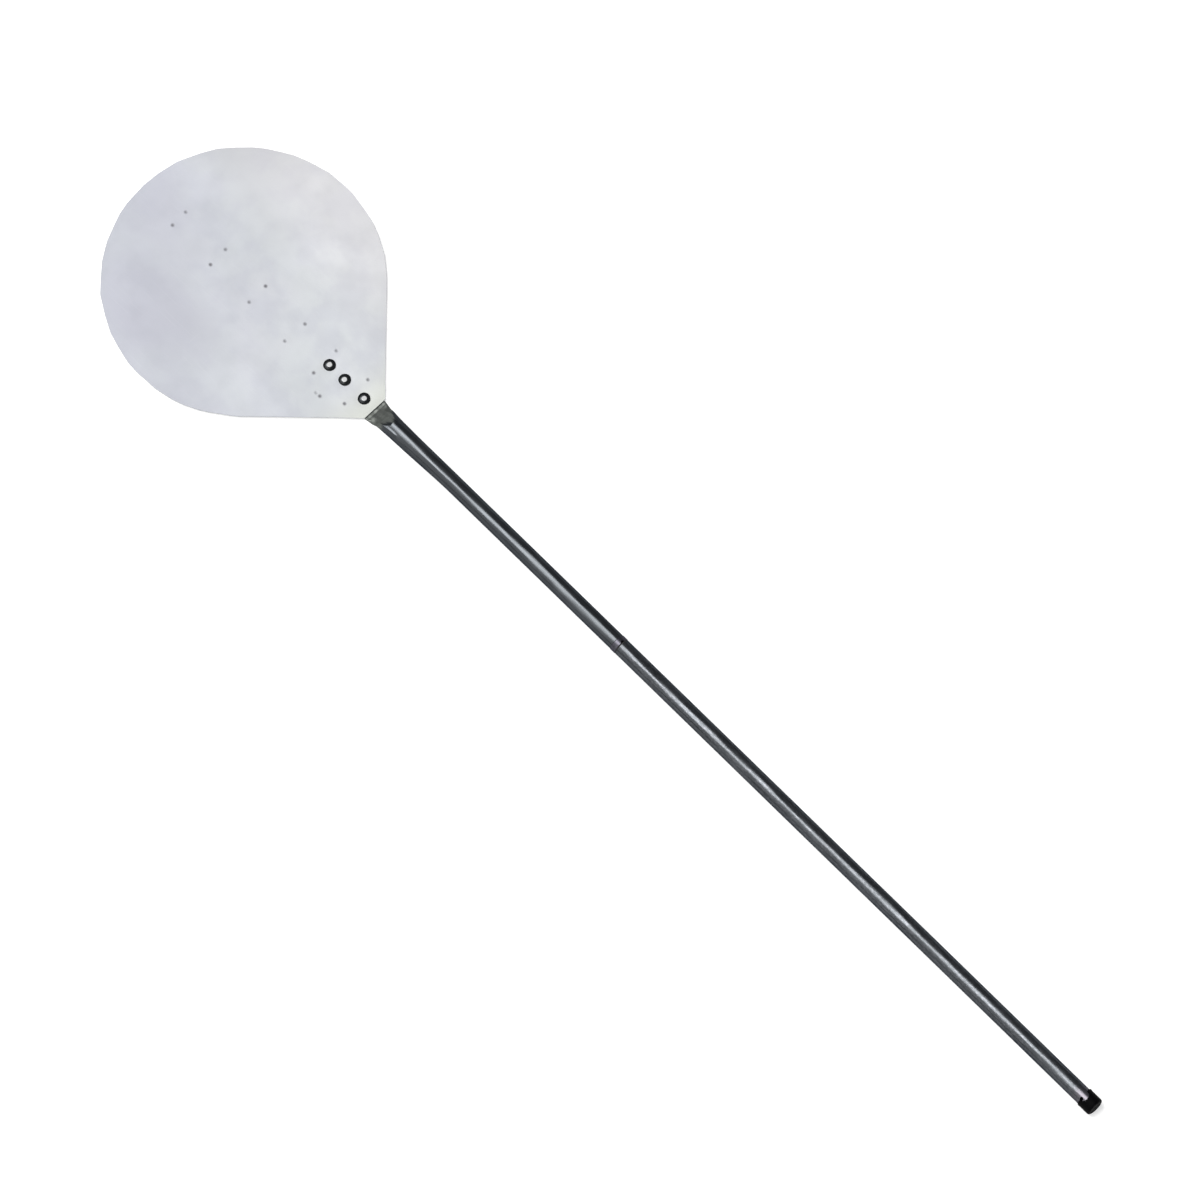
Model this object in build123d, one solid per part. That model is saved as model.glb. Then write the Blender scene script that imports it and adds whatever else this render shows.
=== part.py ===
"""Pizza peel with a round sheet blade and a two-piece screw-together handle.

Millimetres. +X runs along the handle from the blade to the end cap, +Y is sideways and +Z is up.
The peel lies on its flat underside. The origin is on that plane, under the seam where the handle
screws apart, close to the middle of the peel's length.
"""
import math
import os

from build123d import *

# ---------------------------------------------------------------- driving dimensions
FRONT_LENGTH = 716.8         # from the blade's far edge to the seam
REAR_LENGTH = 703.5          # from the seam to the end of the cap
BLADE_RADIUS = 150.0         # 300 mm round blade
BLADE_SHEET = 1.0
NECK_WIDTH = 30.0            # straight edge where the blade meets the handle
STRIP_SHEET = 1.0            # stiffener under the blade
TUBE_OD = 19.0
TUBE_WALL = 1.2
TONGUE_WIDTH = 28.5          # tube end pressed flat
TONGUE_THICK = 2.0 * TUBE_WALL
TONGUE_UNDER_BLADE = 82.0    # length of the tongue inside the neck edge
AXIS_HEIGHT = 11.0           # handle axis above the plane that the peel lies on

# ---------------------------------------------------------------- derived places
BLADE_CENTRE_X = BLADE_RADIUS - FRONT_LENGTH
CORNER_X = BLADE_CENTRE_X + BLADE_RADIUS * math.sqrt(2.0)
NECK_X = CORNER_X - NECK_WIDTH / 2.0
TUBE_R = TUBE_OD / 2.0
TUBE_BORE_R = TUBE_R - TUBE_WALL
TUBE_BOTTOM_Z = AXIS_HEIGHT - TUBE_R
STRIP_Z = TONGUE_THICK
BLADE_Z = STRIP_Z + STRIP_SHEET
BLADE_TOP_Z = BLADE_Z + BLADE_SHEET

# ---------------------------------------------------------------- rivets
RIVET_FROM_NECK = [16.0, 45.0, 67.8]
RIVET_SHANK_R = 3.0
RIVET_HEAD_R = 6.7
RIVET_HEAD_HEIGHT = 3.2
RIVET_TAIL_R = 4.6
RIVET_TAIL_DEPTH = 1.4

# ---------------------------------------------------------------- stiffener
STRIP_NECK_GAP = 1.0         # strip end to the blade's neck edge
STRIP_END_FROM_NECK = 306.0
STRIP_ROOT_HALF = 25.0
STRIP_TIP_HALF = 13.5
STRIP_NECK_HALF = 14.0       # half width where the shoulders nip the strip
STRIP_TIP_RADIUS = 8.0
BEAD_START_GAP = 7.0         # bead start to the tongue's tip
BEAD_END_MARGIN = 16.0
BEAD_TOP_WIDTH = 11.0
BEAD_DRAFT = 35.0

# ---------------------------------------------------------------- screw joint
COLLAR_R = 9.8
COLLAR_LENGTH = 6.7
COLLAR_CHAMFER = 0.3
WASHER_THICK = 0.8
FACE_GAP = 0.05              # clearance between the screwed faces
WASHER_R = 9.1
SOCKET_DEPTH = 28.0          # insert length inside the front tube
SOCKET_BORE_R = 5.1
SOCKET_BORE_DEPTH = 24.0
STUD_R = 5.0
STUD_REACH = 19.0            # thread standing out of the rear tube
STUD_IN_PLUG = 20.0
PLUG_LENGTH = 28.0
NOTCH_R = 2.1                # spanner notch in the collar's front face
NOTCH_ANGLE = 14.0           # from straight up towards +Y
NOTCH_DEPTH = 3.6

# ---------------------------------------------------------------- end cap and hanging hole
CAP_LENGTH = 17.2
CAP_R = 10.7
CAP_LIP_R = 11.0
CAP_LIP_LENGTH = 2.2
CAP_WALL_END = 2.2
CAP_EDGE_RADIUS = 2.4
CAP_SCALLOP_R = 7.0          # scallops in the cap's mouth, which leave the hanging hole clear
CAP_SCALLOP_DEPTH = 6.3
CAP_SCALLOP_ANGLE = 10.0     # from straight up towards -Y
HANG_HOLE_FROM_END = 15.5
HANG_HOLE_R = 2.0
HANG_HOLE_ANGLE = 35.0       # from straight up towards -Y

# the tube's pressed end, by distance from the neck edge: a tongue, a shoulder, then round
ROOT_START = 3.0             # where the tongue begins to fill out
ROOT_SHOULDER = 20.0         # where the press stopped
ROOT_SHOULDER_WIDTH = 23.6
ROOT_END = 115.0             # where the tube is round again
ROOT_PITCH = 16.0            # between lofted sections
ROOT_EASE = 1.5              # how soon the shoulder's extra width is lost; 1 is a straight taper
INNER_START = 8.0            # where the flattened walls begin to part
SECTION_ARC_GAP = 2.0        # degrees of arc that stand in for a flat on the round section


def along_x(x, y=0.0, z=AXIS_HEIGHT):
    """Plane facing +X at x, with its own x direction along +Y."""
    return Plane(origin=(x, y, z), x_dir=(0, 1, 0), z_dir=(1, 0, 0))


def rod(x0, x1, radius):
    """Round bar about the handle axis from x0 to x1."""
    return extrude(along_x(x0) * Circle(radius), amount=x1 - x0)


def radial_bar(x, angle, radius, inner, outer):
    """Bar square to the handle axis at x, turned by angle from upright towards +Y."""
    bar = Pos(0, 0, inner) * Cylinder(
        radius, outer - inner, align=(Align.CENTER, Align.CENTER, Align.MIN))
    return Pos(x, 0, AXIS_HEIGHT) * Rot(-angle, 0, 0) * bar


def slot_section(x, width, height, bottom_z):
    """Flat-sided section with round ends; where it is round, its flats become short arcs."""
    end_r = height / 2.0
    flat = width / 2.0 - end_r
    if flat > 0.05:
        top_left = (-flat, end_r)
        top_right = (flat, end_r)
        top = Line(top_left, top_right)
        bottom = Line((flat, -end_r), (-flat, -end_r))
        side_start = top_right
        side_end = (flat, -end_r)
        right = ThreePointArc(side_start, (flat + end_r, 0.0), side_end)
        left = ThreePointArc((-flat, -end_r), (-flat - end_r, 0.0), top_left)
    else:
        half_gap = math.radians(SECTION_ARC_GAP / 2.0)
        dx = end_r * math.sin(half_gap)
        dy = end_r * math.cos(half_gap)
        top = ThreePointArc((-dx, dy), (0.0, end_r), (dx, dy))
        bottom = ThreePointArc((dx, -dy), (0.0, -end_r), (-dx, -dy))
        right = ThreePointArc((dx, dy), (end_r, 0.0), (dx, -dy))
        left = ThreePointArc((-dx, -dy), (-end_r, 0.0), (-dx, dy))
    face = make_face([top, right, bottom, left])
    return along_x(x, z=bottom_z + end_r) * face


def root_sections():
    """Distance, outer width and height of each lofted section; the girth stays the round tube's."""
    sections = [(ROOT_START, TONGUE_WIDTH, TONGUE_THICK)]
    distance = ROOT_SHOULDER
    while distance < ROOT_END - ROOT_PITCH:
        share = (ROOT_END - distance) / (ROOT_END - ROOT_SHOULDER)
        width = TUBE_OD + (ROOT_SHOULDER_WIDTH - TUBE_OD) * share ** ROOT_EASE
        height = (math.pi * TUBE_OD - 2.0 * width) / (math.pi - 2.0)
        sections.append((distance, width, height))
        distance += ROOT_PITCH
    sections.append((ROOT_END, TUBE_OD, TUBE_OD))
    return sections


ROOT_SECTIONS = root_sections()


def root_bottom(distance):
    """Height of the pressed end's underside, rising from the tongue to the round tube."""
    share = min(max((distance - ROOT_START) / (ROOT_END - ROOT_START), 0.0), 1.0)
    return TUBE_BOTTOM_Z * share


def root_size(distance):
    """Outer width and height of the pressed end at a distance from the neck edge."""
    for (d0, w0, h0), (d1, w1, h1) in zip(ROOT_SECTIONS, ROOT_SECTIONS[1:]):
        if distance <= d1:
            share = (distance - d0) / (d1 - d0)
            return w0 + (w1 - w0) * share, h0 + (h1 - h0) * share
    return TUBE_OD, TUBE_OD


def rivet_holes(solid):
    """Cut the three rivet holes through a layer of the stack."""
    for distance in RIVET_FROM_NECK:
        hole = Pos(NECK_X - distance, 0, -1.0) * Cylinder(
            RIVET_SHANK_R, BLADE_TOP_Z + 2.0, align=(Align.CENTER, Align.CENTER, Align.MIN))
        solid = solid - hole
    return solid


# ---------------------------------------------------------------- sub-parts of the head
def make_blade():
    """Round sheet whose two tangent shoulders run at 45 degrees to the neck edge."""
    disc = Pos(BLADE_CENTRE_X, 0) * Circle(BLADE_RADIUS)
    tangent = BLADE_RADIUS / math.sqrt(2.0)
    touch_x = BLADE_CENTRE_X + tangent
    half = NECK_WIDTH / 2.0
    shoulder = Polyline(
        (touch_x, -tangent), (NECK_X, -half), (NECK_X, half), (touch_x, tangent),
        (BLADE_CENTRE_X, 0.0), (touch_x, -tangent))
    outline = disc + make_face(shoulder)
    sheet = extrude(Pos(0, 0, BLADE_Z) * outline, amount=BLADE_SHEET)
    return rivet_holes(sheet)


def make_blade_stiffener():
    """Tapered strip under the blade, with a pressed bead beyond the tongue."""
    root_x = NECK_X - STRIP_NECK_GAP
    nip = STRIP_ROOT_HALF - STRIP_NECK_HALF
    tip_x = NECK_X - STRIP_END_FROM_NECK
    outline = Polyline(
        (root_x, -STRIP_NECK_HALF), (root_x, STRIP_NECK_HALF),
        (root_x - nip, STRIP_ROOT_HALF), (tip_x, STRIP_TIP_HALF),
        (tip_x, -STRIP_TIP_HALF), (root_x - nip, -STRIP_ROOT_HALF),
        (root_x, -STRIP_NECK_HALF))
    face = make_face(outline)
    tip_corners = face.vertices().filter_by(lambda v: v.X < tip_x + 1.0)
    face = fillet(tip_corners, STRIP_TIP_RADIUS)
    strip = extrude(Pos(0, 0, STRIP_Z) * face, amount=STRIP_SHEET)

    bead_x0 = NECK_X - TONGUE_UNDER_BLADE - BEAD_START_GAP
    bead_x1 = tip_x + BEAD_END_MARGIN
    middle = (bead_x0 + bead_x1) / 2.0
    length = bead_x0 - bead_x1
    outer_profile = Pos(middle, 0, STRIP_Z) * SlotOverall(length, BEAD_TOP_WIDTH)
    outer = extrude(outer_profile, amount=STRIP_Z, dir=(0, 0, -1), taper=BEAD_DRAFT)
    shrink = 2.0 * STRIP_SHEET * math.tan(math.radians(90.0 - BEAD_DRAFT) / 2.0)
    inner_top = STRIP_Z + STRIP_SHEET
    inner_profile = Pos(middle, 0, inner_top) * SlotOverall(length - shrink + STRIP_SHEET,
                                                            BEAD_TOP_WIDTH - shrink + STRIP_SHEET)
    inner = extrude(inner_profile, amount=STRIP_Z, dir=(0, 0, -1), taper=BEAD_DRAFT)
    return rivet_holes(strip + outer - inner)


def make_front_tube():
    """Front half of the handle: tongue, pressed transition and round tube in one piece."""
    tongue_x0 = NECK_X - TONGUE_UNDER_BLADE
    tongue_x1 = NECK_X + ROOT_SECTIONS[0][0]
    length = tongue_x1 - tongue_x0
    plate = Pos((tongue_x0 + tongue_x1) / 2.0, 0, 0) * Rectangle(length, TONGUE_WIDTH)
    tip_corners = plate.vertices().filter_by(lambda v: v.X < tongue_x0 + 1.0)
    plate = fillet(tip_corners, TONGUE_WIDTH / 2.0 - 1.0)
    tongue = extrude(plate, amount=TONGUE_THICK)

    outer = []
    for distance, width, height in ROOT_SECTIONS:
        outer.append(slot_section(NECK_X + distance, width, height, root_bottom(distance)))
    inner = []
    for distance in [INNER_START] + [section[0] for section in ROOT_SECTIONS[1:]]:
        width, height = root_size(distance)
        inner.append(slot_section(
            NECK_X + distance, width - 2.0 * TUBE_WALL, height - 2.0 * TUBE_WALL,
            root_bottom(distance) + TUBE_WALL))
    root = loft(outer, ruled=True) - loft(inner, ruled=True)

    round_x = NECK_X + ROOT_SECTIONS[-1][0]
    end_x = -FACE_GAP - WASHER_THICK - FACE_GAP - COLLAR_LENGTH
    straight = rod(round_x, end_x, TUBE_R) - rod(round_x - 0.5, end_x + 0.5, TUBE_BORE_R)
    tube = tongue + root + straight
    for distance in RIVET_FROM_NECK:
        sink = Pos(NECK_X - distance, 0, RIVET_TAIL_DEPTH / 2.0) * Cone(
            RIVET_TAIL_R, RIVET_SHANK_R, RIVET_TAIL_DEPTH)
        tube = tube - sink
    return rivet_holes(tube)


def make_neck_rivet(distance):
    """Solid rivet: domed head on the blade, shank, and a countersunk tail flush with the tongue."""
    dome_r = (RIVET_HEAD_R ** 2 + RIVET_HEAD_HEIGHT ** 2) / (2.0 * RIVET_HEAD_HEIGHT)
    profile = make_face([
        Line((0, 0), (RIVET_TAIL_R, 0)),
        Line((RIVET_TAIL_R, 0), (RIVET_SHANK_R, RIVET_TAIL_DEPTH)),
        Line((RIVET_SHANK_R, RIVET_TAIL_DEPTH), (RIVET_SHANK_R, BLADE_TOP_Z)),
        Line((RIVET_SHANK_R, BLADE_TOP_Z), (RIVET_HEAD_R, BLADE_TOP_Z)),
        RadiusArc((RIVET_HEAD_R, BLADE_TOP_Z), (0, BLADE_TOP_Z + RIVET_HEAD_HEIGHT), -dome_r),
        Line((0, BLADE_TOP_Z + RIVET_HEAD_HEIGHT), (0, 0)),
    ])
    upright = Plane(origin=(0, 0, 0), x_dir=(1, 0, 0), z_dir=(0, -1, 0)) * profile
    return Pos(NECK_X - distance, 0, 0) * revolve(upright, Axis.Z)


def make_joint_socket():
    """Female insert of the screw joint, with its collar standing outside the front tube."""
    face_x = -2.0 * FACE_GAP - WASHER_THICK
    collar_x = face_x - COLLAR_LENGTH
    collar_edges = rod(collar_x, face_x, COLLAR_R).edges().filter_by(GeomType.CIRCLE)
    collar = chamfer(collar_edges, COLLAR_CHAMFER)
    body = rod(collar_x - SOCKET_DEPTH, collar_x, TUBE_BORE_R)
    bore = rod(face_x - SOCKET_BORE_DEPTH, face_x + 1.0, SOCKET_BORE_R)
    notch = radial_bar(face_x, NOTCH_ANGLE, NOTCH_R, COLLAR_R - NOTCH_DEPTH, COLLAR_R + 1.0)
    return collar + body - bore - notch


# ---------------------------------------------------------------- sub-parts of the rear handle
def make_joint_washer():
    """Thin fibre washer that rides on the stud between the two halves."""
    x1 = -FACE_GAP
    x0 = x1 - WASHER_THICK
    return rod(x0, x1, WASHER_R) - rod(x0 - 1.0, x1 + 1.0, STUD_R + 0.3)


def make_joint_stud():
    """Threaded stud that screws the halves together, at its thread's outer size."""
    bar = rod(-STUD_REACH, STUD_IN_PLUG, STUD_R)
    ends = bar.edges().filter_by(GeomType.CIRCLE)
    return chamfer(ends, 0.8)


def make_stud_plug():
    """Plug pressed into the rear tube, which holds the stud."""
    plug = rod(0.0, PLUG_LENGTH, TUBE_BORE_R)
    back_edge = plug.edges().filter_by(GeomType.CIRCLE).sort_by(Axis.X)[-1]
    plug = chamfer(back_edge, 0.8)
    return plug - rod(-1.0, STUD_IN_PLUG, STUD_R)


def make_rear_tube():
    """Rear half of the handle, with its hanging hole."""
    end_x = REAR_LENGTH - CAP_WALL_END
    tube = rod(0.0, end_x, TUBE_R) - rod(-1.0, end_x + 1.0, TUBE_BORE_R)
    hole_x = REAR_LENGTH - HANG_HOLE_FROM_END
    hole = radial_bar(hole_x, -HANG_HOLE_ANGLE, HANG_HOLE_R, -TUBE_OD, TUBE_OD)
    return tube - hole


def make_end_cap():
    """Moulded cup over the end of the rear tube, with a thicker lip and scallops at its mouth."""
    end_x = REAR_LENGTH
    mouth_x = end_x - CAP_LENGTH
    cup = rod(mouth_x, end_x, CAP_R)
    end_edge = cup.edges().filter_by(GeomType.CIRCLE).sort_by(Axis.X)[-1]
    cup = fillet(end_edge, CAP_EDGE_RADIUS)
    lip = rod(mouth_x, mouth_x + CAP_LIP_LENGTH, CAP_LIP_R)
    hollow = rod(mouth_x - 1.0, end_x - CAP_WALL_END, TUBE_R)
    scallop_x = mouth_x + CAP_SCALLOP_DEPTH - CAP_SCALLOP_R
    scallops = radial_bar(scallop_x, -CAP_SCALLOP_ANGLE, CAP_SCALLOP_R, -TUBE_OD, TUBE_OD)
    return cup + lip - hollow - scallops


# ---------------------------------------------------------------- export
def main():
    parts = {
        "blade": make_blade(),
        "blade_stiffener": make_blade_stiffener(),
        "front_tube": make_front_tube(),
        "joint_socket": make_joint_socket(),
        "joint_washer": make_joint_washer(),
        "joint_stud": make_joint_stud(),
        "stud_plug": make_stud_plug(),
        "rear_tube": make_rear_tube(),
        "end_cap": make_end_cap(),
    }
    for number, distance in enumerate(RIVET_FROM_NECK, start=1):
        parts[f"neck_rivet_{number}"] = make_neck_rivet(distance)
    os.makedirs("parts", exist_ok=True)
    for name, solid in parts.items():
        export_step(solid, f"parts/{name}.step")


main()
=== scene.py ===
"""Looks of the pizza peel: sheet, pressed tube, rivets, screw joint and cap, with a studio."""
import math

import bmesh
import bpy
import numpy as np
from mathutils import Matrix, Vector, geometry


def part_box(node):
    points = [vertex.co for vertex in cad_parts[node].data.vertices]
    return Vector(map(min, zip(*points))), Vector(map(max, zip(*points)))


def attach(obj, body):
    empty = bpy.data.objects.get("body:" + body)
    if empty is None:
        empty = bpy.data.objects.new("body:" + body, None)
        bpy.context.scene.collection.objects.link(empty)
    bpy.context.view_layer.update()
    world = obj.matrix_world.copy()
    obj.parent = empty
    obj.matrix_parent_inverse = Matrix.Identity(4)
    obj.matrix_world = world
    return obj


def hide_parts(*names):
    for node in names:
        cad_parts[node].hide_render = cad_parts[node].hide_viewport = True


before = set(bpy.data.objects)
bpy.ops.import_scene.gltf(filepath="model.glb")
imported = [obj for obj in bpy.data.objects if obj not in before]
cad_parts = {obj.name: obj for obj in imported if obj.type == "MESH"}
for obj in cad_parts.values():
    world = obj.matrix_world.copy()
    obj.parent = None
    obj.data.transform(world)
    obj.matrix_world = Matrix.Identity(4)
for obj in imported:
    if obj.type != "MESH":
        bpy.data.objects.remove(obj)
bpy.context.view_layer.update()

MM = 0.001

# ---------------------------------------------------------------- sizes taken from the CAD pieces, in mm
def box_mm(node):
    """Corners of a CAD piece's box, in mm."""
    low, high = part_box(node)
    return np.array(low) / MM, np.array(high) / MM


blade_low, blade_high = box_mm("blade")
tube_low, tube_high = box_mm("rear_tube")
front_low, front_high = box_mm("front_tube")
socket_low, socket_high = box_mm("joint_socket")
washer_low, washer_high = box_mm("joint_washer")
stud_low, stud_high = box_mm("joint_stud")
cap_low, cap_high = box_mm("end_cap")

BLADE_R = (blade_high[1] - blade_low[1]) / 2.0
BLADE_CX = blade_low[0] + BLADE_R
NECK_X = blade_high[0]
NECK_HALF = 15.0
BLADE_TOP = blade_high[2]
BLADE_THICK = blade_high[2] - blade_low[2]
TUBE_R = (tube_high[2] - tube_low[2]) / 2.0
AXIS_Z = (tube_high[2] + tube_low[2]) / 2.0
TUBE_WALL = 1.2
TUBE_BOTTOM = AXIS_Z - TUBE_R
TONGUE_THICK = 2.0 * TUBE_WALL
TONGUE_HALF = (front_high[1] - front_low[1]) / 2.0
TONGUE_LENGTH = NECK_X - front_low[0]
FRONT_END_X = front_high[0]

rivet_boxes = [box_mm(f"neck_rivet_{number}") for number in (1, 2, 3)]
RIVET_FROM_NECK = [NECK_X - (low[0] + high[0]) / 2.0 for low, high in rivet_boxes]
RIVET_R = 6.7
RIVET_HOLE_R = 3.0
RIVET_TAIL_R = 4.6
RIVET_TAIL_DEPTH = 1.4

# spot welds: pairs across the stiffener, closer together near the neck, scattered a little
WELD_PAIRS = 6
WELD_FIRST = 27.0            # from the neck edge to the first pair
WELD_NEAR_PITCH = 46.0       # between the near pairs
WELD_NEAR_PAIRS = 2          # pairs with the near pitch after them
WELD_FAR_PITCH = 58.0
WELD_ROOT_HALF = 18.5        # half the width of the first pair, and of the last
WELD_TIP_HALF = 9.0
WELD_SCATTER = 1.5
WELD_STRAY = (50.0, -31.0)   # a missed weld beside the strip, with a fainter one beyond it
WELD_STRAY_GAP = 5.5

HANG_HOLE_X = cap_high[0] - 15.5
HANG_HOLE_R = 2.0
HANG_HOLE_ANGLE = 35.0
SCALLOP_R = 7.0
SCALLOP_DEPTH = 6.3
SCALLOP_ANGLE = 10.0
NOTCH_R = 2.1
NOTCH_DEPTH = 3.6
NOTCH_ANGLE = 14.0
THREAD_PITCH = 1.5


# ---------------------------------------------------------------- mesh helpers
def smoothstep(low, high, value):
    """Eased share of the way from low to high, held at 0 and 1 outside."""
    share = np.clip((np.asarray(value, dtype=float) - low) / (high - low), 0.0, 1.0)
    return share * share * (3.0 - 2.0 * share)


def face_outward(mesh):
    """Turns every face of a closed mesh to look out of it."""
    work = bmesh.new()
    work.from_mesh(mesh)
    bmesh.ops.recalc_face_normals(work, faces=work.faces)
    work.to_mesh(mesh)
    work.free()


def add_object(name, points_mm, faces, material, sharp_deg=32.0, solid=True):
    """Object from points in mm, smooth-shaded with sharp edges above an angle."""
    mesh = bpy.data.meshes.new(name)
    mesh.from_pydata([tuple(p) for p in np.asarray(points_mm) * MM], [], faces)
    mesh.validate()
    if solid:
        face_outward(mesh)
    mesh.shade_smooth()
    mesh.set_sharp_from_angle(angle=math.radians(sharp_deg))
    mesh.materials.append(material)
    obj = bpy.data.objects.new(name, mesh)
    bpy.context.scene.collection.objects.link(obj)
    return obj


def store(obj, name, values):
    """Keeps one number for each vertex, for a material to read."""
    attribute = obj.data.attributes.new(name, "FLOAT", "POINT")
    attribute.data.foreach_set("value", np.asarray(values, dtype=np.float32))


def skin(rings, closed=False):
    """Faces over rings of points; each end gets a fan, or the last ring meets the first."""
    rings = np.asarray(rings)
    count, around = rings.shape[0], rings.shape[1]
    points = rings.reshape(-1, 3)
    faces = []
    last = count if closed else count - 1
    for i in range(last):
        a = i * around
        b = ((i + 1) % count) * around
        for j in range(around):
            k = (j + 1) % around
            faces.append((a + j, a + k, b + k, b + j))
    if not closed:
        start = len(points)
        points = np.vstack([points, rings[0].mean(axis=0), rings[-1].mean(axis=0)])
        end = (count - 1) * around
        for j in range(around):
            k = (j + 1) % around
            faces.append((start, k, j))
            faces.append((start + 1, end + j, end + k))
    return points, faces


def lathe_rings(profile, around=96, radius_change=None, shift=None):
    """Rings about the handle axis from (x, radius) pairs.

    radius_change(x, angle, radius) is added to the radius and shift(x, y) to x."""
    angle = np.linspace(0.0, 2.0 * math.pi, around, endpoint=False)
    rings = []
    for x, radius in profile:
        r = np.full(around, float(radius))
        if radius_change is not None:
            r = r + radius_change(x, angle, radius)
        y = r * np.sin(angle)
        z = AXIS_Z + r * np.cos(angle)
        xs = np.full(around, float(x))
        if shift is not None:
            xs = xs + shift(x, y)
        rings.append(np.column_stack([xs, y, z]))
    return np.array(rings)


CUT_SHARP_DEG = 38.0
CUT_MERGE = 0.002            # mm; slivers left by a cut are merged or dissolved below these
CUT_DISSOLVE = 0.0005


def cut(obj, tools):
    """Cuts tool objects out of obj, removes them and clears the slivers left along the cut."""
    for tool in tools:
        change = obj.modifiers.new("cut", "BOOLEAN")
        change.operation = "DIFFERENCE"
        change.solver = "EXACT"
        change.object = tool
    graph = bpy.context.evaluated_depsgraph_get()
    graph.update()
    mesh = bpy.data.meshes.new_from_object(obj.evaluated_get(graph))
    mesh.name = obj.name
    work = bmesh.new()
    work.from_mesh(mesh)
    bmesh.ops.remove_doubles(work, verts=work.verts, dist=CUT_MERGE * MM)
    bmesh.ops.dissolve_degenerate(work, edges=work.edges, dist=CUT_DISSOLVE * MM)
    work.to_mesh(mesh)
    work.free()
    mesh.set_sharp_from_angle(angle=math.radians(CUT_SHARP_DEG))
    obj.modifiers.clear()
    obj.data = mesh
    for tool in tools:
        bpy.data.objects.remove(tool, do_unlink=True)


def radial_tool(x, angle_deg, radius, inner, outer, material, around=32):
    """Round bar square to the handle axis, turned by an angle from upright towards +Y."""
    turn = math.radians(angle_deg)
    out = np.array([0.0, math.sin(turn), math.cos(turn)])
    side = np.array([0.0, math.cos(turn), -math.sin(turn)])
    along = np.array([1.0, 0.0, 0.0])
    centre = np.array([x, 0.0, AXIS_Z])
    angle = np.linspace(0.0, 2.0 * math.pi, around, endpoint=False)
    rings = []
    for reach in (inner, outer):
        middle = centre + out * reach
        rings.append([middle + radius * (math.cos(a) * side + math.sin(a) * along) for a in angle])
    points, faces = skin(rings)
    return add_object("tool", points, faces, material)


# ---------------------------------------------------------------- material helpers
class Nodes:
    """Short way to write a node material on object coordinates."""

    def __init__(self, name):
        self.material = bpy.data.materials.new(name)
        self.material.use_nodes = True
        self.tree = self.material.node_tree
        self.shader = self.tree.nodes["Principled BSDF"]
        self.place = self.add("ShaderNodeTexCoord").outputs["Object"]

    def add(self, kind, **settings):
        """New node with its settings."""
        node = self.tree.nodes.new(kind)
        for key, value in settings.items():
            setattr(node, key, value)
        return node

    def link(self, output, socket):
        self.tree.links.new(output, socket)

    def noise(self, size_mm, detail=3.0, roughness=0.55, stretch=(1.0, 1.0, 1.0), move=0.0):
        """Noise with features of about size_mm, longer along an axis where stretch is above 1."""
        mapping = self.add("ShaderNodeMapping")
        mapping.inputs["Location"].default_value = (move, move * 0.7, move * 0.3)
        scale = [1.0 / (size_mm * MM * s) for s in stretch]
        mapping.inputs["Scale"].default_value = scale
        self.link(self.place, mapping.inputs["Vector"])
        noise = self.add("ShaderNodeTexNoise")
        noise.inputs["Scale"].default_value = 1.0
        noise.inputs["Detail"].default_value = detail
        noise.inputs["Roughness"].default_value = roughness
        self.link(mapping.outputs["Vector"], noise.inputs["Vector"])
        return noise.outputs["Fac"]

    def remap(self, value, low, high, to_low, to_high):
        """Value eased from one range to another, held at the ends."""
        node = self.add("ShaderNodeMapRange", interpolation_type="SMOOTHSTEP")
        node.inputs["From Min"].default_value = low
        node.inputs["From Max"].default_value = high
        node.inputs["To Min"].default_value = to_low
        node.inputs["To Max"].default_value = to_high
        self.link(value, node.inputs["Value"])
        return node.outputs["Result"]

    def math(self, operation, a, b):
        node = self.add("ShaderNodeMath", operation=operation)
        for socket, value in zip(node.inputs, (a, b)):
            if isinstance(value, (int, float)):
                socket.default_value = value
            else:
                self.link(value, socket)
        return node.outputs["Value"]

    def mix(self, factor, a, b):
        """Colour between a and b; each of the three is a value, a colour or a socket."""
        node = self.add("ShaderNodeMix", data_type="RGBA", blend_type="MIX")
        inputs = {s.identifier: s for s in node.inputs}
        pairs = (("Factor_Float", factor), ("A_Color", a), ("B_Color", b))
        for key, value in pairs:
            socket = inputs[key]
            if isinstance(value, tuple):
                socket.default_value = (*value, 1.0)
            elif isinstance(value, (int, float)):
                socket.default_value = value
            else:
                self.link(value, socket)
        return next(s for s in node.outputs if s.identifier == "Result_Color")

    def attribute(self, name):
        """Number kept on the vertices by store()."""
        node = self.add("ShaderNodeAttribute", attribute_name=name)
        return node.outputs["Fac"]

    def axis(self, letter):
        """One object coordinate, in metres."""
        node = self.add("ShaderNodeSeparateXYZ")
        self.link(self.place, node.inputs["Vector"])
        return node.outputs[letter]

    def colour(self, output):
        self.link(output, self.shader.inputs["Base Color"])

    def roughness(self, output):
        self.link(output, self.shader.inputs["Roughness"])

    def bump(self, height, distance_mm, strength=1.0):
        node = self.add("ShaderNodeBump")
        node.inputs["Strength"].default_value = strength
        node.inputs["Distance"].default_value = distance_mm * MM
        self.link(height, node.inputs["Height"])
        self.link(node.outputs["Normal"], self.shader.inputs["Normal"])

    def set(self, **values):
        """Plain values on the shader's own sockets."""
        for key, value in values.items():
            self.shader.inputs[key.replace("_", " ")].default_value = value


SCRATCH_EASE = 0.12


def scratches(nodes, size_mm, stretch, move, threshold=0.62):
    """Thin streaks, long along one axis."""
    fine = nodes.noise(size_mm, detail=2.0, stretch=stretch, move=move)
    return nodes.remap(fine, threshold, threshold + SCRATCH_EASE, 0.0, 1.0)


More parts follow.
